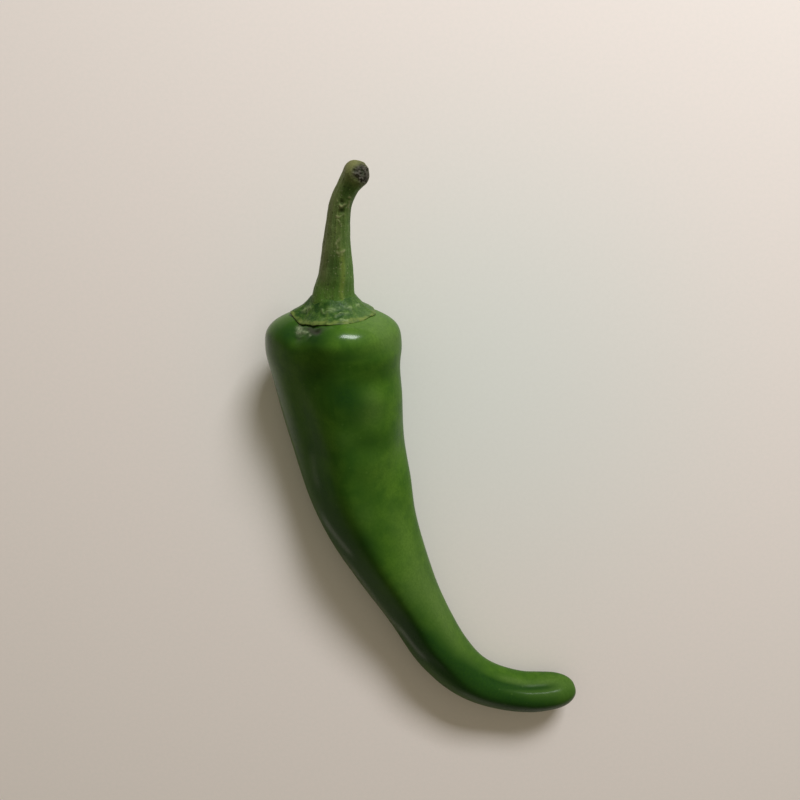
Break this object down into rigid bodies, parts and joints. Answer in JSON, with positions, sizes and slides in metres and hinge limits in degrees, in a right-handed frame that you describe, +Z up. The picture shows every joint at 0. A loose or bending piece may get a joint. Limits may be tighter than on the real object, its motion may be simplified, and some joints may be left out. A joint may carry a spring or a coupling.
{
  "type": "chili pepper",
  "caption": "Fresh green chili pepper with its calyx and curved stalk, lying on its side: a lobed pod that tapers and curls to a blunt end.",
  "frame": {"origin": "middle of the footprint, on the surface the pepper lies on", "axes": "+Z up, +Y towards the stalk, +X towards the side that the pointed end curls to"},
  "size_m": [0.0645, 0.1122, 0.0275],
  "materials": {
    "pod_skin": "smooth waxy green skin, glossy on the shoulders",
    "calyx_leaf": "satin leafy green with a pale dry rim",
    "stalk_bark": "matt olive green, finely ribbed, with pale scars and a brown cut end"
  },
  "bodies": {
    "root": {"pod": "pod_skin", "calyx": "calyx_leaf", "stalk": "stalk_bark"}
  },
  "joints": []
}
